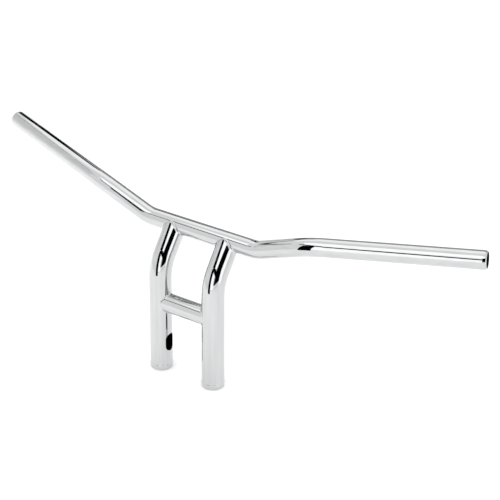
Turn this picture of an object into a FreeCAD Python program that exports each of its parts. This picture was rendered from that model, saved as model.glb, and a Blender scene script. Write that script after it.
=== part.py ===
import FreeCAD, Part
import math
import os
import Sketcher
from FreeCAD import Placement, Rotation, Vector

# A welded T-bar handlebar for a motorcycle, in millimetres.
# Frame: origin midway between the two riser feet, on the face that sits on the top yoke.
# +Z is up, +X is towards the rider's one hand, and +Y is the way the bar is pulled back.
# Every node is one piece as it lies on the welding bench, before the whole bar is plated.

doc = FreeCAD.newDocument("handlebar")
sheet = doc.addObject("Spreadsheet::Sheet", "Sizes")

SIZES = [
    ("bar_diameter", 25.4),        # the one inch tube that the grips and levers clamp on
    ("bar_wall", 2.4),
    ("bar_height", 208.0),         # yoke face to the centre of the bar, between the risers
    ("centre_half", 89.5),         # middle of the bar to the corner of the inner bend
    ("rise_run", 86.8),            # corner of the inner bend to the corner of the outer bend
    ("rise_angle", 20.0),
    ("inner_bend_radius", 50.0),
    ("grip_run", 229.5),           # corner of the outer bend to the open end
    ("grip_sweep", 16.8),          # how far the grips point back, seen from above
    ("grip_rise", 4.9),
    ("outer_bend_radius", 102.0),
    ("mouth_round_length", 5.0),   # the mouth of the tube is drawn in over this length by polishing
    ("mouth_round_depth", 1.7),
    ("mouth_round_inside", 0.4),
    ("wire_hole_diameter", 14.0),  # lets the switch wires drop from the bar into a riser
    ("riser_spacing", 88.9),       # three and a half inches, the usual yoke
    ("riser_diameter", 31.75),
    ("riser_wall", 3.05),
    ("riser_straight", 140.5),     # yoke face to the start of the bend
    ("riser_bend_radius", 56.0),
    ("riser_lean", 37.0),
    ("cope_tip", 2.0),             # how far below the bar's axis the coped lobes end
    ("wire_slot_width", 16.0),
    ("wire_slot_length", 27.0),
    ("wire_slot_height", 43.5),    # yoke face to the centre of the slot
    ("cross_diameter", 27.3),
    ("cross_wall", 2.6),
    ("cross_height", 105.7),
    ("flange_height", 6.5),
    ("flange_proud", 0.15),        # the flange stands this far outside the riser
    ("flange_round", 1.5),
    ("spigot_length", 22.0),
    ("spigot_clearance", 0.1),
    ("bung_bore", 11.4),           # tapped for a half inch bolt
    ("spigot_lead", 1.2),          # the bevel that starts the spigot into the riser
    ("weld_leg", 3.2),             # the riser's bead on the bar
    ("weld_over", 12.0),           # how far the bead climbs past the lobes, in degrees
    ("cross_weld_leg", 2.6),
    ("foot_weld_size", 1.5),
    ("foot_weld_crown", 0.3),
    ("weld_gap", 0.05),
    ("root_gap", 0.2),             # between a coped end and the tube that it meets
]

for row, (alias, value) in enumerate(SIZES, start=1):
    sheet.set("A%d" % row, alias)
    sheet.set("B%d" % row, "%g" % value)
    sheet.setAlias("B%d" % row, alias)
doc.recompute()

SIDES = {"left": -1, "right": 1}
WELD_SECTIONS = 36                 # sections that a bead's skin is lofted through

# The risers bend back, so the bar's axis lies behind the feet by this much.
PULLBACK = (
    "Sizes.riser_bend_radius * (1 - cos(Sizes.riser_lean))"
    " + (Sizes.bar_height - Sizes.riser_straight"
    " - Sizes.riser_bend_radius * sin(Sizes.riser_lean)) * tan(Sizes.riser_lean)"
)
# A cope of this radius closes the lobes of a riser just below the bar's axis.
COPE_RADIUS = "sqrt((Sizes.riser_diameter / 2) ^ 2 + Sizes.cope_tip ^ 2)"


def size(alias):
    """A driving size, read from the sheet."""
    return float(sheet.get(alias))


def bind(obj, **formulas):
    """Tie properties of an object to the sheet."""
    for name, formula in formulas.items():
        obj.setExpression(name.replace("__", "."), formula)


def plane(body, role):
    """One of a body's own origin planes."""
    return [p for p in body.Origin.OriginFeatures if p.Role == role][0]


def new_body(label):
    body = doc.addObject("PartDesign::Body", label)
    body.Label = label
    return body


def new_sketch(body, name, role):
    """An empty sketch on an origin plane of the body."""
    sketch = body.newObject("Sketcher::SketchObject", name)
    sketch.AttachmentSupport = [(plane(body, role), "")]
    sketch.MapMode = "FlatFace"
    return sketch


def constrain(sketch, kind, *where, formula=None, start=1.0):
    """Add a constraint. One with a formula is a dimension tied to the sheet."""
    if formula is None:
        sketch.addConstraint(Sketcher.Constraint(kind, *where))
        return
    index = sketch.addConstraint(Sketcher.Constraint(kind, *where, start))
    sketch.setExpression("Constraints[%d]" % index, formula)


def add_circle(sketch, radius, across="0", up="0"):
    """A circle whose centre and radius follow the sheet."""
    circle = sketch.addGeometry(Part.Circle(Vector(1, 1, 0), Vector(0, 0, 1), 10.0))
    constrain(sketch, "Radius", circle, formula=radius, start=10.0)
    for kind, place in (("DistanceX", across), ("DistanceY", up)):
        constrain(sketch, kind, -1, 1, circle, 3, formula=place)


def add_polygon(sketch, corners):
    """A closed outline whose corners, given as pairs of formulas, follow the sheet."""
    count = len(corners)
    start = [Vector(math.cos(2 * math.pi * i / count), math.sin(2 * math.pi * i / count), 0) * 10
             for i in range(count)]
    first = sketch.GeometryCount
    for i in range(count):
        sketch.addGeometry(Part.LineSegment(start[i], start[(i + 1) % count]))
    for i, (across, up) in enumerate(corners):
        constrain(sketch, "Coincident", first + i, 2, first + (i + 1) % count, 1)
        constrain(sketch, "DistanceX", -1, 1, first + i, 1, formula=across)
        constrain(sketch, "DistanceY", -1, 1, first + i, 1, formula=up)


def add_upright_slot(sketch, width, length, up):
    """A round-ended slot, standing upright on the sketch's vertical axis."""
    half, reach, middle = size(width) / 2, size(length) / 2 - size(width) / 2, size(up)
    z = Vector(0, 0, 1)
    top = Part.Circle(Vector(0, middle + reach, 0), z, half)
    bottom = Part.Circle(Vector(0, middle - reach, 0), z, half)
    sketch.addGeometry(Part.ArcOfCircle(top, 0, math.pi))
    sketch.addGeometry(Part.ArcOfCircle(bottom, math.pi, 2 * math.pi))
    sketch.addGeometry(Part.LineSegment(Vector(-half, middle + reach, 0), Vector(-half, middle - reach, 0)))
    sketch.addGeometry(Part.LineSegment(Vector(half, middle - reach, 0), Vector(half, middle + reach, 0)))
    for one, end, other, start in ((0, 2, 2, 1), (2, 2, 1, 1), (1, 2, 3, 1), (3, 2, 0, 1)):
        constrain(sketch, "Tangent", one, end, other, start)
    constrain(sketch, "PointOnObject", 0, 3, -2)
    constrain(sketch, "PointOnObject", 1, 3, -2)
    constrain(sketch, "Equal", 0, 1)
    constrain(sketch, "Radius", 0, formula="Sizes.%s / 2" % width, start=half)
    shift = "(Sizes.%s - Sizes.%s) / 2" % (length, width)
    constrain(sketch, "DistanceY", -1, 1, 0, 3, formula="Sizes.%s + %s" % (up, shift), start=middle)
    constrain(sketch, "DistanceY", -1, 1, 1, 3, formula="Sizes.%s - %s" % (up, shift), start=middle)


def circle_edges(shape, radius, height=None):
    """Names of the round edges of a radius, all of them or those at a height."""
    names = []
    for number, edge in enumerate(shape.Edges, start=1):
        if not isinstance(edge.Curve, Part.Circle) or abs(edge.Curve.Radius - radius) > 1e-4:
            continue
        if height is None or abs(edge.Curve.Center.z - height) < 1e-4:
            names.append("Edge%d" % number)
    return names


# The bar's middle: every piece at the top of the risers takes its place from this point.
bar_middle = doc.addObject("Part::Vertex", "bar_middle")
bind(bar_middle, Y=PULLBACK, Z="Sizes.bar_height")
doc.recompute()
BAR_MIDDLE = Vector(0, bar_middle.Y.Value, bar_middle.Z.Value)


# ---- the bent bar --------------------------------------------------------------------------

def heading(sweep, rise):
    """Unit direction of a straight run, swept back and raised by angles in degrees."""
    sweep, rise = math.radians(sweep), math.radians(rise)
    return Vector(math.cos(sweep) * math.cos(rise), math.sin(sweep) * math.cos(rise), math.sin(rise))


def mirrored(point):
    return Vector(-point.x, point.y, point.z)


def rounded_path(corners, radii):
    """A wire of straight runs, with a true arc of the given radius at each inner corner."""
    edges = []
    begin = corners[0]
    for before, corner, after, radius in zip(corners, corners[1:], corners[2:], radii):
        back = (before - corner).normalize()
        ahead = (after - corner).normalize()
        half_turn = back.getAngle(ahead) / 2
        inset = radius / math.tan(half_turn)
        middle = (back + ahead).normalize() * (radius / math.sin(half_turn) - radius)
        enter, leave = corner + back * inset, corner + ahead * inset
        edges.append(Part.makeLine(begin, enter))
        edges.append(Part.Arc(enter, corner + middle, leave).toShape())
        begin = leave
    edges.append(Part.makeLine(begin, corners[-1]))
    return Part.Wire(edges)


def bar_corners():
    """Corners of the bar's centreline, from the left open end to the right one."""
    inner = BAR_MIDDLE + Vector(size("centre_half"), 0, 0)
    outer = inner + heading(0, size("rise_angle")) * size("rise_run")
    end = outer + heading(size("grip_sweep"), size("grip_rise")) * size("grip_run")
    right = [inner, outer, end]
    return [mirrored(p) for p in reversed(right)] + right


def swept_along(spine, name, radius):
    """A round rod along the bar's centreline."""
    first = spine.Shape.Edges[0]
    profile = doc.addObject("Part::Circle", name + "_profile")
    bind(profile, Radius=radius)
    profile.Placement = Placement(first.Vertexes[0].Point, Rotation(Vector(0, 0, 1), first.tangentAt(0)))
    rod = doc.addObject("Part::Sweep", name)
    rod.Sections = [profile]
    rod.Spine = (spine, ["Edge%d" % (i + 1) for i in range(len(spine.Shape.Edges))])
    rod.Solid = True
    return rod


def riser_core(name, side, radius):
    """A round rod on the axis of a riser's leaning top, from the bar's axis downwards."""
    core = doc.addObject("Part::Cylinder", name)
    bind(core, Radius=radius, Height="Sizes.bar_diameter")
    down = Rotation(Vector(1, 0, 0), 180 - size("riser_lean"))
    core.Placement = Placement(BAR_MIDDLE + Vector(side * size("riser_spacing") / 2, 0, 0), down)
    return core


def mouth_rounding(label, side):
    """The ring taken off a mouth: the profile is an ellipse, long along the tube and shallow across it."""
    length, depth = size("mouth_round_length"), size("mouth_round_depth")
    radius = size("bar_diameter") / 2
    ellipse = Part.Ellipse(Vector(radius - depth, 0, 0), Vector(radius, 0, -length),
                           Vector(radius - depth, 0, -length))
    outside = [Vector(radius, 0, -length), Vector(radius + 1, 0, -length), Vector(radius + 1, 0, 1),
               Vector(radius - depth, 0, 1), Vector(radius - depth, 0, 0)]
    edges = [Part.makeLine(a, b) for a, b in zip(outside, outside[1:])]
    edges.append(Part.ArcOfEllipse(ellipse, 0, math.pi / 2).toShape())
    profile = Part.Face(Part.Wire(Part.sortEdges(edges)[0]))
    ring = doc.addObject("Part::Feature", "mouth_rounding_" + label)
    ring.Shape = profile.revolve(Vector(0, 0, 0), Vector(0, 0, 1), 360)
    corners = bar_corners() if side > 0 else bar_corners()[::-1]
    ring.Placement = Placement(corners[-1], Rotation(Vector(0, 0, 1), corners[-1] - corners[-2]))
    return ring


def make_handlebar_tube():
    # The bends lie in two different planes, so the centreline is a wire rather than a sketch.
    radii = [size("outer_bend_radius"), size("inner_bend_radius")]
    spine = doc.addObject("Part::Feature", "bar_centreline")
    spine.Shape = rounded_path(bar_corners(), radii + radii[::-1])
    outside = swept_along(spine, "bar_outside", "Sizes.bar_diameter / 2")
    inside = swept_along(spine, "bar_inside", "Sizes.bar_diameter / 2 - Sizes.bar_wall")
    tube = doc.addObject("Part::Cut", "bar_bent_tube")
    tube.Base, tube.Tool = outside, inside
    for label, side in SIDES.items():
        drilled = doc.addObject("Part::Cut", "bar_drilled_" + label)
        drilled.Base = tube
        drilled.Tool = riser_core("wire_hole_" + label, side, "Sizes.wire_hole_diameter / 2")
        tube = drilled
    for label, side in SIDES.items():
        rounded = doc.addObject("Part::Cut", "bar_rounded_" + label)
        rounded.Base, rounded.Tool = tube, mouth_rounding(label, side)
        tube = rounded
    doc.recompute()
    finished = doc.addObject("Part::Fillet", "handlebar_tube")
    finished.Base = tube
    inner_round = size("mouth_round_inside")
    finished.Edges = [
        (int(name[4:]), inner_round, inner_round)
        for name in circle_edges(tube.Shape, size("bar_diameter") / 2 - size("bar_wall"))
        if abs(tube.Shape.Edges[int(name[4:]) - 1].Curve.Center.x) > bar_corners()[-1].x - 1e-3
    ]
    return finished


# ---- the risers ----------------------------------------------------------------------------

def draw_riser_path(sketch):
    """Straight up from the flange, round the bend, and on to the bar's axis."""
    foot, straight, bend = size("flange_height"), size("riser_straight"), size("riser_bend_radius")
    lean = math.radians(size("riser_lean"))
    circle = Part.Circle(Vector(bend, straight, 0), Vector(0, 0, 1), bend)
    arc = Part.ArcOfCircle(circle, math.pi - lean, math.pi)
    sketch.addGeometry(Part.LineSegment(Vector(0, foot, 0), Vector(0, straight, 0)))
    sketch.addGeometry(arc)
    sketch.addGeometry(Part.LineSegment(arc.StartPoint, Vector(BAR_MIDDLE.y, BAR_MIDDLE.z, 0)))
    constrain(sketch, "PointOnObject", 0, 1, -2)
    constrain(sketch, "PointOnObject", 0, 2, -2)
    constrain(sketch, "DistanceY", -1, 1, 0, 1, formula="Sizes.flange_height", start=foot)
    constrain(sketch, "DistanceY", -1, 1, 0, 2, formula="Sizes.riser_straight", start=straight)
    constrain(sketch, "Tangent", 0, 2, 1, 2)
    constrain(sketch, "Radius", 1, formula="Sizes.riser_bend_radius", start=bend)
    constrain(sketch, "Tangent", 1, 1, 2, 1)
    constrain(sketch, "DistanceX", -1, 1, 2, 2, formula=PULLBACK, start=BAR_MIDDLE.y)
    constrain(sketch, "DistanceY", -1, 1, 2, 2, formula="Sizes.bar_height", start=BAR_MIDDLE.z)


def make_riser(label, side):
    body = new_body("riser_tube_" + label)
    ring = new_sketch(body, "riser_ring_" + label, "XY_Plane")
    ring.setExpression("AttachmentOffset.Base.z", "Sizes.flange_height")
    add_circle(ring, "Sizes.riser_diameter / 2")
    add_circle(ring, "Sizes.riser_diameter / 2 - Sizes.riser_wall")
    path = new_sketch(body, "riser_path_" + label, "YZ_Plane")
    draw_riser_path(path)
    doc.recompute()
    pipe = body.newObject("PartDesign::AdditivePipe", "riser_bent_" + label)
    pipe.Profile = ring
    pipe.Spine = (path, ["Edge1", "Edge2", "Edge3"])

    cope = new_sketch(body, "riser_cope_" + label, "YZ_Plane")
    add_circle(cope, COPE_RADIUS, PULLBACK, "Sizes.bar_height")
    coped = body.newObject("PartDesign::Pocket", "riser_coped_" + label)
    coped.Profile = cope
    coped.Type = "ThroughAll"
    coped.SideType = "Symmetric"

    slot = new_sketch(body, "wire_slot_" + label, "YZ_Plane")
    add_upright_slot(slot, "wire_slot_width", "wire_slot_length", "wire_slot_height")
    slotted = body.newObject("PartDesign::Pocket", "riser_slotted_" + label)
    slotted.Profile = slot
    slotted.Type = "ThroughAll"
    slotted.Reversed = side < 0
    doc.recompute()

    bevel = body.newObject("PartDesign::Chamfer", "riser_bevel_" + label)
    foot_edges = circle_edges(slotted.Shape, size("riser_diameter") / 2, size("flange_height"))
    bevel.Base = (slotted, foot_edges)
    bind(bevel, Size="Sizes.foot_weld_size")
    bind(body, Placement__Base__x="%d * Sizes.riser_spacing / 2" % side)
    return body


def make_cross_tube():
    body = new_body("cross_tube")
    ring = new_sketch(body, "cross_ring", "YZ_Plane")
    for radius in ("Sizes.cross_diameter / 2", "Sizes.cross_diameter / 2 - Sizes.cross_wall"):
        add_circle(ring, radius)
    pad = body.newObject("PartDesign::Pad", "cross_straight")
    pad.Profile = ring
    pad.SideType = "Symmetric"
    bind(pad, Length="Sizes.riser_spacing")
    cope = new_sketch(body, "cross_cope", "XY_Plane")
    for side in SIDES.values():
        add_circle(cope, "Sizes.riser_diameter / 2 + Sizes.root_gap", "%d * Sizes.riser_spacing / 2" % side)
    coped = body.newObject("PartDesign::Pocket", "cross_coped")
    coped.Profile = cope
    coped.Type = "ThroughAll"
    coped.SideType = "Symmetric"
    bind(body, Placement__Base__z="Sizes.cross_height")
    return body


# ---- the threaded feet ---------------------------------------------------------------------

def make_bung(label, side):
    """A turned foot: a flange that the riser stands on, a spigot inside it, a tapped bore."""
    body = new_body("threaded_bung_" + label)
    outline = new_sketch(body, "bung_outline_" + label, "XZ_Plane")
    flange = "Sizes.riser_diameter / 2 + Sizes.flange_proud"
    spigot = "Sizes.riser_diameter / 2 - Sizes.riser_wall - Sizes.spigot_clearance"
    top = "Sizes.flange_height + Sizes.spigot_length"
    bevel = "Sizes.foot_weld_size"
    add_polygon(outline, [
        ("Sizes.bung_bore / 2", "0"),
        (flange, "0"),
        (flange, "Sizes.flange_height - " + bevel),
        ("Sizes.riser_diameter / 2 - " + bevel, "Sizes.flange_height"),
        (spigot, "Sizes.flange_height"),
        (spigot, top + " - Sizes.spigot_lead"),
        (spigot + " - Sizes.spigot_lead", top),
        ("Sizes.bung_bore / 2", top),
    ])
    turned = body.newObject("PartDesign::Revolution", "bung_turned_" + label)
    turned.Profile = outline
    turned.ReferenceAxis = (outline, ["V_Axis"])
    turned.Angle = 360
    doc.recompute()
    rounded = body.newObject("PartDesign::Fillet", "bung_rounded_" + label)
    flange_radius = size("riser_diameter") / 2 + size("flange_proud")
    rounded.Base = (turned, circle_edges(turned.Shape, flange_radius, 0))
    bind(rounded, Radius="Sizes.flange_round")
    bind(body, Placement__Base__x="%d * Sizes.riser_spacing / 2" % side)
    return body


def make_bung_weld(label, side):
    """The bead in the groove between the flange and the foot of the riser."""
    body = new_body("bung_weld_" + label)
    outline = new_sketch(body, "bung_weld_outline_" + label, "XZ_Plane")
    add_polygon(outline, [
        ("Sizes.riser_diameter / 2 + Sizes.flange_proud", "Sizes.flange_height - Sizes.foot_weld_size"),
        ("Sizes.riser_diameter / 2 + Sizes.foot_weld_crown", "Sizes.flange_height"),
        ("Sizes.riser_diameter / 2", "Sizes.flange_height + Sizes.foot_weld_size"),
        ("Sizes.riser_diameter / 2 - Sizes.foot_weld_size", "Sizes.flange_height"),
    ])
    bead = body.newObject("PartDesign::Revolution", "bung_bead_" + label)
    bead.Profile = outline
    bead.ReferenceAxis = (outline, ["V_Axis"])
    bead.Angle = 360
    bind(body, Placement__Base__x="%d * Sizes.riser_spacing / 2" % side)
    return body


# ---- the beads along the copes -------------------------------------------------------------
# A bead follows a saddle, which no sketch can hold, so its skin is lofted round the joint.

def lofted_ring(section):
    """A closed ring skinned through the polygons that section(turn) gives."""
    turns = [2 * math.pi * i / WELD_SECTIONS for i in range(WELD_SECTIONS)]
    return Part.makeLoft([Part.makePolygon(section(t) + section(t)[:1]) for t in turns], True, False, True)


SINK = 0.15                        # the toes start this deep, so that the cuts leave clean edges


def make_bar_weld_left(riser):
    """The bead that fills the cope between the left riser's top and the bar."""
    lean = math.radians(size("riser_lean"))
    centre = BAR_MIDDLE - Vector(size("riser_spacing") / 2, 0, 0)
    along = Vector(0, math.sin(lean), math.cos(lean))
    front = Vector(0, -math.cos(lean), math.sin(lean))
    bar_radius, riser_radius = size("bar_diameter") / 2, size("riser_diameter") / 2
    bore_radius = riser_radius - size("riser_wall")
    cope_radius = math.hypot(riser_radius, size("cope_tip"))
    leg, over = size("weld_leg"), math.radians(size("weld_over"))

    def place(across, forward, up):
        return centre + Vector(across, 0, 0) + front * forward + along * up

    def section(turn):
        cos, sin = math.cos(turn), math.sin(turn)
        seam = math.asin(riser_radius * sin / cope_radius) + over * sin
        toe_forward = (riser_radius - SINK) * sin
        toe_up = -math.sqrt(cope_radius ** 2 - toe_forward ** 2) - SINK
        root = bore_radius - 1.0
        root_up = -math.sqrt(cope_radius ** 2 - (root * sin) ** 2) - SINK
        deep = bar_radius - 2.0
        return [
            place((riser_radius - SINK) * cos, toe_forward, toe_up),
            place((riser_radius + leg) * cos, (bar_radius - SINK) * math.sin(seam),
                  -(bar_radius - SINK) * math.cos(seam)),
            place(root * cos, deep * math.sin(seam), -deep * math.cos(seam)),
            place(root * cos, root * sin, root_up),
        ]

    reach = riser_radius * 2
    gap = size("weld_gap")
    bar = Part.makeCylinder(bar_radius + gap, 2 * reach, centre - Vector(reach, 0, 0), Vector(1, 0, 0))
    bore = Part.makeCylinder(bore_radius, 2 * reach, centre - along * reach, along)
    weld = doc.addObject("Part::Feature", "bar_weld_left")
    weld.Shape = lofted_ring(section).cut([bar, bore, riser.Shape])
    return weld


def make_cross_weld_left():
    """The fillet bead around the left end of the cross tube."""
    riser_radius, cross_radius = size("riser_diameter") / 2, size("cross_diameter") / 2
    leg, gap = size("cross_weld_leg"), size("weld_gap")
    centre = Vector(-size("riser_spacing") / 2, 0, size("cross_height"))

    def section(turn):
        cos, sin = math.cos(turn), math.sin(turn)
        reach = max(-1.0, min(cross_radius * cos / riser_radius, 1.0))
        toe = math.asin(reach) + leg / riser_radius * cos
        seam_across = riser_radius * math.sqrt(1 - reach ** 2)
        on_riser = riser_radius - SINK
        on_cross = cross_radius - SINK
        deep = cross_radius - 1.5
        return [
            centre + Vector(on_riser * math.cos(toe), on_riser * math.sin(toe), (cross_radius + leg) * sin),
            centre + Vector(seam_across + leg, on_cross * cos, on_cross * sin),
            centre + Vector(seam_across - 1.5, deep * cos, deep * sin),
        ]

    tall = Vector(0, 0, 2 * riser_radius)
    riser = Part.makeCylinder(riser_radius + gap, 2 * tall.z, centre - tall)
    cross = Part.makeCylinder(cross_radius + gap, size("riser_spacing") / 2, centre, Vector(1, 0, 0))
    weld = doc.addObject("Part::Feature", "cross_weld_left")
    weld.Shape = lofted_ring(section).cut([riser, cross])
    return weld


def mirror_to_right(piece):
    """The right-hand copy of a left-hand piece."""
    copy = doc.addObject("Part::Mirroring", piece.Label.replace("left", "right"))
    copy.Source = piece
    copy.Normal = Vector(1, 0, 0)
    return copy


# ---- assembly ------------------------------------------------------------------------------

nodes = [make_handlebar_tube(), make_cross_tube()]
risers = {label: make_riser(label, side) for label, side in SIDES.items()}
doc.recompute()
for label, side in SIDES.items():
    nodes += [risers[label], make_bung(label, side), make_bung_weld(label, side)]
left_welds = [make_bar_weld_left(risers["left"]), make_cross_weld_left()]
nodes += left_welds + [mirror_to_right(weld) for weld in left_welds]
doc.recompute()

for obj in doc.Objects:
    if "Invalid" in obj.State or "Error" in obj.State:
        raise RuntimeError("%s: %s" % (obj.Name, obj.State))

os.makedirs("parts", exist_ok=True)
for node in nodes:
    if node.Shape.isNull() or not node.Shape.isValid():
        raise RuntimeError("%s has no valid shape" % node.Label)
    node.Shape.exportStep("parts/%s.step" % node.Label)
    print("%-22s solids %d  volume %9.1f mm3" % (node.Label, len(node.Shape.Solids), node.Shape.Volume))
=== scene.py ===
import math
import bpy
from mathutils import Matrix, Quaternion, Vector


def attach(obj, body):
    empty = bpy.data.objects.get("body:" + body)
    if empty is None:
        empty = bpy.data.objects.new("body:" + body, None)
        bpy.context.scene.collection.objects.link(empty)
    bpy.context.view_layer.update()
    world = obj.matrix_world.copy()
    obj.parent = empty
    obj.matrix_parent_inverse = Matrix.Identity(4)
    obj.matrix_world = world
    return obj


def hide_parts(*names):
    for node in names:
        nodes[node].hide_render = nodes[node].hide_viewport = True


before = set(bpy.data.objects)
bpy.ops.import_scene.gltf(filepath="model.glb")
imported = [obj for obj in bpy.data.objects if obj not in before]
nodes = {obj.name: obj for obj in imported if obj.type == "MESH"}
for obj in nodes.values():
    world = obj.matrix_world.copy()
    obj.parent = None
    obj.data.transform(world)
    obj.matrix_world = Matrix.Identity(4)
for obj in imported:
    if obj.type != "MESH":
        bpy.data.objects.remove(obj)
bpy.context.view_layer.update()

# %% [markdown]
# # A chromed T-bar handlebar
# The frame holds the exact bar from the CAD model: a bent bar, two risers, a cross tube, two threaded
# feet, and a weld bead at every joint. All sizes here are metres, in the frame of the CAD model.
# The tubes are kept as they are. The beads and the threaded feet are modelled again, because a real
# bead has a hollow face with faint ripples, and a real foot has a thread cut into it.

bpy.ops.object.select_all(action="DESELECT")
print("pieces", sorted(nodes))

# %% [markdown]
# ## Sizes of the joints
# The risers stand 88.9 mm apart and lean back at the top, so the bar lies behind the feet. The few
# sizes below are those of the CAD model, and every modelled piece takes its place from them.

# %% Sizes
MM = 0.001
BAR_R, RISER_R, CROSS_R = 12.7 * MM, 15.875 * MM, 13.65 * MM
BORE_R = 12.825 * MM
RISER_X = 44.45 * MM
BAR_HEIGHT, CROSS_HEIGHT = 208.0 * MM, 105.7 * MM
PULLBACK = 36.745 * MM
LEAN = math.radians(37.0)
COPE_R = 16.0 * MM
FLANGE_TOP = 6.5 * MM
print("bar axis", round(PULLBACK, 4), round(BAR_HEIGHT, 4))


# %% [markdown]
# ## Colours and nodes
# Shaders want linear light, and colours are easier to name as sRGB hex codes, so one function turns
# them. A second one adds a shader node, sets its options and links its inputs.

# %% Helpers for materials
def linear(code):
    """An sRGB hex colour as the linear RGBA that shaders use."""
    parts = [int(code[i:i + 2], 16) / 255 for i in (1, 3, 5)]
    return [c / 12.92 if c <= 0.04045 else ((c + 0.055) / 1.055) ** 2.4 for c in parts] + [1.0]


def add_node(tree, kind, settings=None, **inputs):
    """Add one node. Settings are its options, and inputs are values or sockets to link from."""
    node = tree.nodes.new(kind)
    for key, value in (settings or {}).items():
        setattr(node, key, value)
    for key, value in inputs.items():
        socket = node.inputs[int(key[1:])] if key[0] == "i" and key[1:].isdigit() else node.inputs[
            key.replace("_", " ")]
        if isinstance(value, bpy.types.NodeSocket):
            tree.links.new(value, socket)
        else:
            socket.default_value = value
    return node


# %% [markdown]
# ## Chrome plate
# The tubes are steel, polished on belts and wheels, then plated with nickel and a film of chromium.
# Chrome is a pale, slightly cool metal that reflects about 60% of the light, so most of what the eye
# sees is the room. What tells plate from a perfect mirror is small: a faint swell left by the belt,
# about 9 mm from crest to crest, and a haze of polishing lines that runs a little along the tube.
# Long streaks of a darker tint, also along the tube, are painted reflection: they stand in for an
# uneven floor seen in the chrome, and are no colour of the plate.
# Plating doesn't reach inside a tube, where the steel stays dark. A mask shows that steel wherever
# a point lies nearer to the tube's axis than the plate does.

# %% Chrome material
# The second chrome colour is painted reflection: a darker tint laid in streaks along the tube, standing
# in for an uneven floor seen in the chrome, not a tint of the plate.
CHROME, CHROME_PAINTED_STREAK = linear("#cdcecf"), linear("#c5c6c6")
ALONG_BAR, ALONG_RISER, EVEN = (0.06, 1.0, 1.0), (1.0, 1.0, 0.06), (0.5, 0.5, 0.5)
BARE_STEEL, BARE_STEEL_RUST = linear("#2a2826"), linear("#34302c")


def make_chrome(name, grain, haze=0.035, inside=None):
    """Chrome plate, with painted reflection streaks in its colour. Grain is short along the way it was
    polished. Inside masks the unplated steel.
    """
    material = bpy.data.materials.new(name)
    material.use_nodes = True
    tree = material.node_tree
    shader = tree.nodes["Principled BSDF"]
    shader.inputs["Metallic"].default_value = 1.0
    place = add_node(tree, "ShaderNodeTexCoord").outputs["Object"]
    swell = add_node(tree, "ShaderNodeTexNoise", Vector=place, Scale=110.0, Detail=1.0)
    stretched = add_node(tree, "ShaderNodeMapping", Vector=place, Scale=grain)
    streak_noise = add_node(tree, "ShaderNodeTexNoise", Vector=stretched.outputs["Vector"], Scale=190.0,
                     Detail=2.0)
    lines = add_node(tree, "ShaderNodeTexNoise", Vector=stretched.outputs["Vector"], Scale=900.0,
                     Detail=4.0, Roughness=0.6)
    # Painted reflection streaks: long bands where the plate's colour turns to the darker tint.
    painted_streaks = add_node(tree, "ShaderNodeMapRange", Value=streak_noise.outputs["Fac"], From_Min=0.3, From_Max=0.7,
                     To_Min=0.0, To_Max=1.0)
    tint = add_node(tree, "ShaderNodeMix", {"data_type": "RGBA"}, i0=painted_streaks.outputs["Result"],
                    i6=CHROME, i7=CHROME_PAINTED_STREAK)
    rough = add_node(tree, "ShaderNodeMapRange", Value=lines.outputs["Fac"], From_Min=0.35,
                     From_Max=0.75, To_Min=haze * 0.6, To_Max=haze * 1.8)
    colour, roughness = tint.outputs[2], rough.outputs["Result"]
    if inside is not None:
        mask = inside(tree, place)
        speckle = add_node(tree, "ShaderNodeTexNoise", Vector=place, Scale=420.0, Detail=5.0)
        steel = add_node(tree, "ShaderNodeMix", {"data_type": "RGBA"}, i0=speckle.outputs["Fac"],
                         i6=BARE_STEEL, i7=BARE_STEEL_RUST)
        colour = add_node(tree, "ShaderNodeMix", {"data_type": "RGBA"}, i0=mask, i6=colour,
                          i7=steel.outputs[2]).outputs[2]
        roughness = add_node(tree, "ShaderNodeMix", {"data_type": "FLOAT"}, i0=mask, i2=roughness,
                             i3=0.55).outputs[0]
    tree.links.new(colour, shader.inputs["Base Color"])
    tree.links.new(roughness, shader.inputs["Roughness"])
    bump = add_node(tree, "ShaderNodeBump", Strength=1.0, Distance=0.000004, Height=swell.outputs["Fac"])
    fine = add_node(tree, "ShaderNodeBump", Strength=1.0, Distance=0.0000001,
                    Height=lines.outputs["Fac"], Normal=bump.outputs["Normal"])
    tree.links.new(fine.outputs["Normal"], shader.inputs["Normal"])
    return material


# %% [markdown]
# ### Where the plate ends
# Both grips are straight, so a point's distance from the grip's axis tells the bore from the outside.
# Taking the absolute value of X lets one axis serve both grips. The risers' lower halves stand
# straight up, and their bores show through the wire slots, so there the distance is level.

# %% Masks for the bores
GRIP_END = (389.967 * MM, 102.836 * MM, 257.291 * MM)
SWEEP, RISE = math.radians(16.8), math.radians(4.9)
GRIP_WAY = (math.cos(SWEEP) * math.cos(RISE), math.sin(SWEEP) * math.cos(RISE), math.sin(RISE))
PLATE_REACH = 0.5 * MM
GRIP_BORE_LIMIT, RISER_BORE_LIMIT = 10.85 * MM, 13.5 * MM
GRIP_FROM, GRIP_TO = 250 * MM, 500 * MM
RISER_FROM, RISER_TO = -10 * MM, 135 * MM


def within(tree, distance, limit, place, axis, low, high):
    """1 where a point is nearer to a tube's axis than the limit, on one straight stretch of it."""
    fade = add_node(tree, "ShaderNodeMapRange", Value=distance, From_Min=limit - PLATE_REACH,
                    From_Max=limit, To_Min=1.0, To_Max=0.0)
    split = add_node(tree, "ShaderNodeSeparateXYZ", Vector=place)
    above = add_node(tree, "ShaderNodeMath", {"operation": "GREATER_THAN"}, i0=split.outputs[axis],
                     i1=low)
    under = add_node(tree, "ShaderNodeMath", {"operation": "LESS_THAN"}, i0=split.outputs[axis],
                     i1=high)
    stretch = add_node(tree, "ShaderNodeMath", {"operation": "MULTIPLY"}, i0=above.outputs[0],
                       i1=under.outputs[0])
    mask = add_node(tree, "ShaderNodeMath", {"operation": "MULTIPLY"}, i0=stretch.outputs[0],
                    i1=fade.outputs["Result"])
    return mask.outputs[0]


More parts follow.
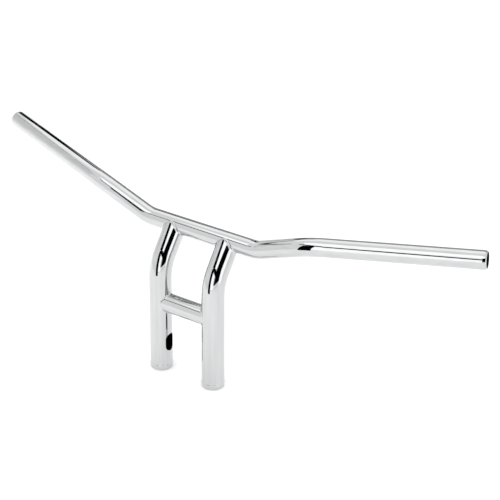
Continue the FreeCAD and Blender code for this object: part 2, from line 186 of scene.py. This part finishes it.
def inside_grips(tree, place):
    """1 in the bore of either grip, by the distance across from the grip's axis."""
    mirrored = add_node(tree, "ShaderNodeVectorMath", {"operation": "ABSOLUTE"}, i0=place)
    offset = add_node(tree, "ShaderNodeVectorMath", {"operation": "SUBTRACT"},
                      i0=mirrored.outputs[0], i1=GRIP_END)
    across = add_node(tree, "ShaderNodeVectorMath", {"operation": "CROSS_PRODUCT"},
                      i0=offset.outputs[0], i1=GRIP_WAY)
    distance = add_node(tree, "ShaderNodeVectorMath", {"operation": "LENGTH"}, i0=across.outputs[0])
    return within(tree, distance.outputs["Value"], GRIP_BORE_LIMIT, mirrored.outputs[0], "X",
                  GRIP_FROM, GRIP_TO)


def inside_risers(tree, place):
    """1 in the bore of either riser's straight lower part."""
    mirrored = add_node(tree, "ShaderNodeVectorMath", {"operation": "ABSOLUTE"}, i0=place)
    level = add_node(tree, "ShaderNodeVectorMath", {"operation": "MULTIPLY"},
                     i0=mirrored.outputs[0], i1=(1.0, 1.0, 0.0))
    offset = add_node(tree, "ShaderNodeVectorMath", {"operation": "DISTANCE"},
                      i0=level.outputs[0], i1=(RISER_X, 0.0, 0.0))
    return within(tree, offset.outputs["Value"], RISER_BORE_LIMIT, mirrored.outputs[0], "Z",
                  RISER_FROM, RISER_TO)


chrome_bar = make_chrome("chrome_plated_steel_bar", ALONG_BAR, inside=inside_grips)
chrome_riser = make_chrome("chrome_plated_steel_riser", ALONG_RISER, inside=inside_risers)
chrome_cross = make_chrome("chrome_plated_steel_cross_tube", ALONG_BAR)
chrome_foot = make_chrome("chrome_plated_turned_foot", EVEN, haze=0.05)
chrome_weld = make_chrome("chrome_plated_weld", EVEN, haze=0.06)
for name, material in (("handlebar_tube", chrome_bar), ("cross_tube", chrome_cross),
                       ("riser_tube_left", chrome_riser), ("riser_tube_right", chrome_riser)):
    nodes[name].data.materials.clear()
    nodes[name].data.materials.append(material)
    print(name, material.name, len(nodes[name].data.polygons), "triangles")

# %% [markdown]
# ## Weld beads
# Each joint is held by a fillet bead, laid by hand and dressed before plating, so its face is hollow
# and runs smoothly into both tubes, with ripples of a few hundredths of a millimetre left in it. A
# bead is a ring with a small section, which is what a torus is, so each one starts as a torus with as
# many rings as the bead needs. Every ring is then moved to its section of the joint: the face is a
# Bezier curve that leaves one tube along its surface and meets the other along its own.

# %% The ring that becomes a bead
FACE_POINTS, ROOT_POINTS = 13, 3
BEAD_RINGS = 288
RIPPLE_DEPTH = 0.03 * MM
RING_R, RING_THICK = 20 * MM, 2 * MM


def bezier(a, b, c, d, t):
    """The point at t on the cubic Bezier curve from a to d."""
    return a * (1 - t) ** 3 + b * 3 * t * (1 - t) ** 2 + c * 3 * t * t * (1 - t) + d * t ** 3


def bead_section(start, start_way, end, end_way, roots, ripple):
    """Points round a bead's section: the hollow face, then the hidden root."""
    reach = (end - start).length * 0.5
    face = [bezier(start, start + start_way * reach, end - end_way * reach, end, i / (FACE_POINTS - 1))
            for i in range(FACE_POINTS)]
    chord = end - start
    out = (chord.cross(start_way)).cross(chord)
    out = -out.normalized() if out.length > 1e-12 else Vector()
    crown = [4 * (i / (FACE_POINTS - 1)) * (1 - i / (FACE_POINTS - 1)) for i in range(FACE_POINTS)]
    return [p + out * ripple * k for p, k in zip(face, crown)] + roots


def add_bead(name, section, node):
    """Make a bead from a torus, one ring for each turn that section(turn) describes."""
    count = FACE_POINTS + ROOT_POINTS
    bpy.ops.mesh.primitive_torus_add(major_radius=RING_R, minor_radius=RING_THICK,
                                     major_segments=BEAD_RINGS, minor_segments=count)
    bead = bpy.context.active_object
    bead.name = bead.data.name = name
    sections = {}
    for vertex in bead.data.vertices:
        x, y, z = vertex.co
        ring = round(math.atan2(y, x) / (2 * math.pi) * BEAD_RINGS) % BEAD_RINGS
        point = round(math.atan2(z, math.hypot(x, y) - RING_R) / (2 * math.pi) * count) % count
        if ring not in sections:
            sections[ring] = section(2 * math.pi * ring / BEAD_RINGS)
        vertex.co = sections[ring][point]
    bpy.ops.object.mode_set(mode="EDIT")
    bpy.ops.mesh.select_all(action="SELECT")
    bpy.ops.mesh.normals_make_consistent(inside=False)
    bpy.ops.object.mode_set(mode="OBJECT")
    bpy.ops.object.shade_smooth_by_angle(angle=math.radians(40))
    bead.data.materials.append(chrome_weld)
    bead.select_set(False)
    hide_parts(node)
    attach(bead, "root")
    print(name, len(bead.data.polygons), "faces")


# %% [markdown]
# ### Beads under the bar
# The top of a riser is cut to saddle the bar, a little short of it, and the bead fills the gap. It
# climbs to just past the bar's middle at the front and back, and lies flat along it at the sides.
# One description of the joint gives both beads, the left one with the sign of X turned round.

# %% Bar beads
BEAD_LEG = 3.2 * MM
CLIMB = math.radians(12.0)
RIPPLES_AT_BAR = 52


def bar_bead_section(side):
    """The bead between one riser's cope and the underside of the bar."""
    centre = Vector((side * RISER_X, PULLBACK, BAR_HEIGHT))
    along = Vector((0, math.sin(LEAN), math.cos(LEAN)))
    front = Vector((0, -math.cos(LEAN), math.sin(LEAN)))

    def place(across, forward, up):
        return centre + Vector((across, 0, 0)) + front * forward + along * up

    def saddle(radius, sin):
        return -math.sqrt(COPE_R ** 2 - (radius * sin) ** 2)

    def section(turn):
        cos, sin = math.cos(turn), math.sin(turn)
        seam = math.asin(RISER_R * sin / COPE_R) + CLIMB * sin
        start = place(RISER_R * cos, RISER_R * sin, saddle(RISER_R, sin))
        end = place((RISER_R + BEAD_LEG) * cos, BAR_R * math.sin(seam), -BAR_R * math.cos(seam))
        round_bar = front * math.cos(seam) + along * math.sin(seam)
        end_way = (Vector((cos, 0, 0)) + round_bar * sin).normalized()
        root_seam = math.asin(BORE_R * sin / COPE_R)
        under = place(BORE_R * cos, BAR_R * math.sin(root_seam), -BAR_R * math.cos(root_seam))
        root = place(BORE_R * cos, BORE_R * sin, saddle(BORE_R, sin))
        roots = [under, (under + root) / 2, root]
        return bead_section(start, along, end, end_way, roots,
                            RIPPLE_DEPTH * math.sin(RIPPLES_AT_BAR * turn))

    return section


for label, side in (("left", -1), ("right", 1)):
    add_bead("blended_bar_weld_" + label, bar_bead_section(side), "bar_weld_" + label)

# %% [markdown]
# ### Beads round the cross tube
# The cross tube is cut to fit the round risers and welded all the way round. Its bead is finer.

# %% Cross beads
CROSS_LEG = 2.4 * MM
RIPPLES_AT_CROSS = 44
ROOT_REACH = 0.1 * MM


def cross_bead_section(side):
    """The bead between one end of the cross tube and its riser."""
    centre = Vector((side * RISER_X, 0, CROSS_HEIGHT))

    def place(inwards, forward, up):
        return centre + Vector((-side * inwards, forward, up))

    def section(turn):
        cos, sin = math.cos(turn), math.sin(turn)
        seam = math.asin(CROSS_R * cos / RISER_R)
        toe = seam + CROSS_LEG / RISER_R * cos
        seam_reach = RISER_R * math.cos(seam)
        start = place(RISER_R * math.cos(toe), RISER_R * math.sin(toe), (CROSS_R + CROSS_LEG) * sin)
        end = place(seam_reach + CROSS_LEG, CROSS_R * cos, CROSS_R * sin)
        start_way = Vector((-side * math.sin(toe) * cos, -math.cos(toe) * cos, -sin)).normalized()
        root_seam = place(seam_reach + ROOT_REACH, CROSS_R * cos, CROSS_R * sin)
        roots = [end.lerp(root_seam, 0.5), root_seam, root_seam.lerp(start, 0.5)]
        return bead_section(start, start_way, end, Vector((-side, 0, 0)), roots,
                            RIPPLE_DEPTH * math.sin(RIPPLES_AT_CROSS * turn))

    return section


for label, side in (("left", -1), ("right", 1)):
    add_bead("blended_cross_weld_" + label, cross_bead_section(side), "cross_weld_" + label)

# %% [markdown]
# ### Beads round the feet
# A groove between each foot's flange and its riser is filled and dressed almost flush, so only a thin
# swelling shows all round.

# %% Foot beads
FLANGE_R = RISER_R + 0.15 * MM
FOOT_BEAD_R = RISER_R + 0.3 * MM
GROOVE = 1.5 * MM
RIPPLES_AT_FOOT = 40


def foot_bead_section(side):
    """The thin bead over the groove between one foot's flange and its riser."""
    def place(radius, height, turn):
        return Vector((side * RISER_X + radius * math.cos(turn), radius * math.sin(turn), height))

    def section(turn):
        ripple = RIPPLE_DEPTH * math.sin(RIPPLES_AT_FOOT * turn)
        face = []
        for i in range(FACE_POINTS):
            t = i / (FACE_POINTS - 1)
            crown = 4 * t * (1 - t)
            radius = FLANGE_R + (RISER_R - FLANGE_R) * t + (FOOT_BEAD_R - RISER_R + ripple) * crown
            face.append(place(radius, FLANGE_TOP - GROOVE + 2 * GROOVE * t, turn))
        root = place(RISER_R - GROOVE, FLANGE_TOP, turn)
        return face + [face[-1].lerp(root, 0.5), root, root.lerp(face[0], 0.5)]

    return section


for label, side in (("left", -1), ("right", 1)):
    add_bead("dressed_foot_weld_" + label, foot_bead_section(side), "bung_weld_" + label)

# %% [markdown]
# ## Threaded feet
# A foot is turned on a lathe from bar: a flange that carries the riser, a spigot inside it, and a bore
# tapped right through for a half inch coarse bolt, 13 threads to the inch. The same shape is made here
# by drawing a circle and extruding it ring by ring along the foot's outline, as a lathe tool travels.
# The bore's rings are close together, so the thread is cut by moving them in and out along a helix.

# %% Turned feet
FOOT_TOP = FLANGE_TOP + 22.0 * MM
SPIGOT_LEAD = 1.2 * MM
SPIGOT_R = BORE_R - 0.1 * MM
TAPPED_R = 5.7 * MM
THREAD_PITCH = 1.954 * MM
THREAD_DEPTH = 0.55 * MM
BORE_RINGS = 104
CHAMFER = 0.9 * MM
MERGE_REACH = 0.005 * MM
ROUND = 1.5 * MM


def foot_outline():
    """Radius and height round the foot, from the top of the bore down it and back up outside."""
    bore = [(TAPPED_R, FOOT_TOP - FOOT_TOP * i / BORE_RINGS) for i in range(BORE_RINGS + 1)]
    corner = [(FLANGE_R - ROUND + ROUND * math.sin(a), ROUND - ROUND * math.cos(a))
              for a in (math.pi / 2 * i / 8 for i in range(9))]
    above = [(FLANGE_R, FLANGE_TOP - GROOVE), (RISER_R - GROOVE, FLANGE_TOP), (SPIGOT_R, FLANGE_TOP),
             (SPIGOT_R, FOOT_TOP - SPIGOT_LEAD), (SPIGOT_R - SPIGOT_LEAD, FOOT_TOP)]
    return bore + corner + above


def cut_thread(mesh, centre_x):
    """Move the bore's points along a helix, and open both mouths with a chamfer."""
    for vertex in mesh.vertices:
        x, y = vertex.co.x - centre_x, vertex.co.y
        radius, height = math.hypot(x, y), vertex.co.z
        if abs(radius - TAPPED_R) > 0.01 * MM:
            continue
        phase = (height / THREAD_PITCH - math.atan2(y, x) / (2 * math.pi)) % 1.0
        wave = max(-1.0, min(1.0, 2.6 * (abs(2 * phase - 1) * 2 - 1) / 2))
        mouth = max(0.0, TAPPED_R + THREAD_DEPTH + CHAMFER * 0.4 - min(height, FOOT_TOP - height))
        new = max(TAPPED_R + THREAD_DEPTH * wave, mouth)
        vertex.co.x, vertex.co.y = centre_x + x * new / radius, y * new / radius


def turn_foot(label, side):
    """Turn one foot from its outline, tap it, and put it in place of the plain one."""
    outline = foot_outline()
    centre_x = side * RISER_X
    bpy.ops.mesh.primitive_circle_add(vertices=96, radius=outline[0][0], fill_type="NOTHING",
                                      location=(centre_x, 0, outline[0][1]))
    foot = bpy.context.active_object
    foot.name = foot.data.name = "tapped_foot_" + label
    bpy.ops.object.mode_set(mode="EDIT")
    bpy.ops.mesh.select_all(action="SELECT")
    for (radius, height), (next_radius, next_height) in zip(outline, outline[1:] + outline[:1]):
        bpy.ops.mesh.extrude_region_move(
            TRANSFORM_OT_translate={"value": (0, 0, next_height - height)})
        if abs(next_radius - radius) > 1e-9:
            grow = next_radius / radius
            bpy.ops.transform.resize(value=(grow, grow, 1.0), center_override=(centre_x, 0, next_height))
    bpy.ops.mesh.select_all(action="SELECT")
    bpy.ops.mesh.remove_doubles(threshold=MERGE_REACH)
    bpy.ops.mesh.normals_make_consistent(inside=False)
    bpy.ops.object.mode_set(mode="OBJECT")
    bpy.ops.object.transform_apply(location=True, rotation=True, scale=True)
    cut_thread(foot.data, centre_x)
    bpy.ops.object.shade_smooth_by_angle(angle=math.radians(35))
    foot.data.materials.append(chrome_foot)
    foot.select_set(False)
    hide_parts("threaded_bung_" + label)
    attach(foot, "root")
    print(foot.name, len(foot.data.polygons), "faces")


for label, side in (("left", -1), ("right", 1)):
    turn_foot(label, side)

# %% [markdown]
# ## Floor
# A wide sheet of white paper, so the bar stands in an even, bright field.

# %% Paper floor
bpy.ops.mesh.primitive_plane_add(size=14.0, location=(0, 0, 0))
floor = bpy.context.active_object
floor.name = "paper_floor"
paper = bpy.data.materials.new("white_paper")
paper.use_nodes = True
paper.node_tree.nodes["Principled BSDF"].inputs["Base Color"].default_value = linear("#f6f6f6")
paper.node_tree.nodes["Principled BSDF"].inputs["Roughness"].default_value = 1.0
paper.node_tree.nodes["Principled BSDF"].inputs["Specular IOR Level"].default_value = 0.0
floor.data.materials.append(paper)
floor.select_set(False)
print(floor.name, round(floor.dimensions.x, 2), "m wide")

# %% [markdown]
# ## A light tent
# Chrome shows the room more than itself, so it is lit inside a tent of white cloth. The world is the
# cloth, and soft panels make its roof and front brighter. The thin black shapes are what any tent
# shows in chrome: the opening for the lens, and the bars of the frame along the roof's edges. They
# are seen only in reflections, so they put no shadow on the paper and block no view. One grey sheet,
# seen the same way, is painted shade: it glows a little dimmer than the cloth, standing in for the
# shaded left wall.

# %% Cloth
world = bpy.data.worlds.new("tent_cloth")
bpy.context.scene.world = world
world.use_nodes = True
world.node_tree.nodes["Background"].inputs["Color"].default_value = linear("#ffffff")
world.node_tree.nodes["Background"].inputs["Strength"].default_value = 1.06
print("world", world.name)


# %% Bright panels
def add_panel(name, centre, aim, width, height, glow, fill=False):
    """A soft panel that adds its glow to the cloth behind it. A fill shows in no chrome or shadow."""
    bpy.ops.object.light_add(type="AREA", location=centre)
    panel = bpy.context.active_object
    panel.name = name
    panel.data.shape = "RECTANGLE"
    panel.data.size, panel.data.size_y = width, height
    panel.data.energy = glow * math.pi * width * height
    panel.visible_glossy = not fill
    panel.data.use_shadow = not fill
    way = Vector(aim) - Vector(centre)
    panel.rotation_euler = way.to_track_quat("-Z", "Y").to_euler()
    panel.select_set(False)
    print(name, round(width, 2), "by", round(height, 2), "m")


add_panel("roof_front", (0.1, -1.15, 1.6), (0.1, -1.15, 0), 2.2, 1.3, 0.6)
add_panel("roof_back", (-0.6, 0.7, 1.6), (-0.6, 0.7, 0), 2.0, 1.1, 0.35)
add_panel("front_cloth", (0.28, -1.1, 0.42), (0.28, 0, 0.42), 0.66, 0.7, 0.6)
add_panel("right_cloth", (1.1, -0.22, 0.35), (0, -0.22, 0.35), 0.44, 0.6, 0.6)
add_panel("floor_fill", (-1.0, 0.3, 1.2), (-0.75, 0.1, 0), 1.2, 1.2, 1.6, fill=True)

# %% Black cloth, and a glowing sheet of painted shade
black = bpy.data.materials.new("black_cloth")
black.use_nodes = True
black.node_tree.nodes.clear()
dark = add_node(black.node_tree, "ShaderNodeBsdfDiffuse", Color=linear("#020202"))
add_node(black.node_tree, "ShaderNodeOutputMaterial", Surface=dark.outputs["BSDF"])

# Painted shade: the tent's left wall in shade, given as a sheet that glows a little dimmer than the
# cloth around it.
painted_shade_sheet = bpy.data.materials.new("left_wall_painted_shade")
painted_shade_sheet.use_nodes = True
painted_shade_sheet.node_tree.nodes.clear()
dim = add_node(painted_shade_sheet.node_tree, "ShaderNodeEmission", Color=linear("#f2f2f2"), Strength=0.98)
add_node(painted_shade_sheet.node_tree, "ShaderNodeOutputMaterial", Surface=dim.outputs["Emission"])
print(black.name, painted_shade_sheet.name)


# %% Shapes of the tent
def add_dark(name, corners, cloth=black):
    """A flat dark shape through four corners, seen only in reflections."""
    bpy.ops.mesh.primitive_plane_add(size=1.0)
    shape = bpy.context.active_object
    shape.name = name
    for vertex, corner in zip(shape.data.vertices, (corners[0], corners[1], corners[3], corners[2])):
        vertex.co = corner
    shape.data.materials.append(cloth)
    shape.visible_camera = False
    shape.visible_diffuse = False
    shape.visible_shadow = False
    shape.select_set(False)
    print(name, cloth.name)


def add_bar(name, start, end, start_width, end_width):
    """A level or sloping bar of the frame, as wide as given at each end."""
    low = [(start[0], start[1], start[2] - start_width / 2), (end[0], end[1], end[2] - end_width / 2)]
    high = [(end[0], end[1], end[2] + end_width / 2), (start[0], start[1], start[2] + start_width / 2)]
    add_dark(name, low + high)


# Where the tent's frame stands, in metres.
FRONT_Y, POST_FOOT_Y, BACK_Y, LEFT_X = -0.9, -0.62, 1.2, -1.2
LENS_WAY, LENS_REACH, LENS_HALF = math.radians(45), 1.5, 0.637
LENS_LOW, LENS_HIGH = 0.25, 1.5
lens_centre = Vector((math.sin(LENS_WAY), -math.cos(LENS_WAY), 0)) * LENS_REACH
lens_side = Vector((math.cos(LENS_WAY), math.sin(LENS_WAY), 0)) * LENS_HALF
bottom, top = Vector((0, 0, LENS_LOW)), Vector((0, 0, LENS_HIGH))
add_dark("lens_opening", [lens_centre - lens_side + bottom, lens_centre + lens_side + bottom,
                          lens_centre + lens_side + top, lens_centre - lens_side + top])
add_bar("front_roof_bar", (-1.0, FRONT_Y, 1.19), (0.62, FRONT_Y, 0.62), 0.17, 0.22)
add_dark("front_post", [(-0.15, POST_FOOT_Y, 0.0), (0.07, POST_FOOT_Y, 0.0),
                        (-0.07, FRONT_Y, 0.85), (-0.5, FRONT_Y, 0.85)])
add_bar("back_roof_bar_left", (-3.0, BACK_Y, 1.2), (-1.05, BACK_Y, 1.17), 1.3, 1.05)
add_bar("back_roof_bar_right", (-1.05, BACK_Y, 1.25), (0.9, BACK_Y, 1.22), 0.3, 0.28)
add_bar("back_low_bar", (-1.05, BACK_Y, 0.72), (0.9, BACK_Y, 0.72), 0.34, 0.34)
add_bar("left_roof_bar", (LEFT_X, FRONT_Y, 1.04), (LEFT_X, BACK_Y, 1.04), 0.03, 0.03)

# The sheet of painted shade on the tent's left wall, seen only in reflections.
LEFT_CLOTH_X, LEFT_CLOTH_LOW, LEFT_CLOTH_HIGH = -1.22, 0.42, 1.02
LEFT_CLOTH_FRONT, LEFT_CLOTH_BACK = -0.6, 1.1
add_dark("left_cloth", [(LEFT_CLOTH_X, LEFT_CLOTH_FRONT, LEFT_CLOTH_LOW),
                        (LEFT_CLOTH_X, LEFT_CLOTH_BACK, LEFT_CLOTH_LOW),
                        (LEFT_CLOTH_X, LEFT_CLOTH_BACK, LEFT_CLOTH_HIGH),
                        (LEFT_CLOTH_X, LEFT_CLOTH_FRONT, LEFT_CLOTH_HIGH)], cloth=painted_shade_sheet)

# %% [markdown]
# ## Camera
# A long lens from the front right, looking down on the bar, keeps its two grips nearly the same size.

# %% Camera
AZIMUTH, ELEVATION, ROLL = math.radians(34.5), math.radians(26.7), math.radians(0.57)
TARGET = Vector((0.08375, 0.0, 0.25297))
DISTANCE = 1.950
LENS_LENGTH, SENSOR_WIDTH = 108.4, 36.0
SHIFT_X, SHIFT_Y = 0.0242, -0.0427
right = Vector((math.cos(AZIMUTH), math.sin(AZIMUTH), 0))
back = Vector((math.sin(AZIMUTH) * math.cos(ELEVATION), -math.cos(AZIMUTH) * math.cos(ELEVATION),
               math.sin(ELEVATION)))
turn = Quaternion(back, ROLL)
axes = Matrix((turn @ right, turn @ back.cross(right), back)).transposed()
bpy.ops.object.camera_add(location=TARGET + back * DISTANCE, rotation=axes.to_euler())
camera = bpy.context.active_object
camera.data.sensor_width = SENSOR_WIDTH
camera.data.lens = LENS_LENGTH
camera.data.shift_x = SHIFT_X
camera.data.shift_y = SHIFT_Y
bpy.context.scene.camera = camera
bpy.context.scene.view_settings.view_transform = "Standard"
print("camera", [round(v, 3) for v in camera.location])
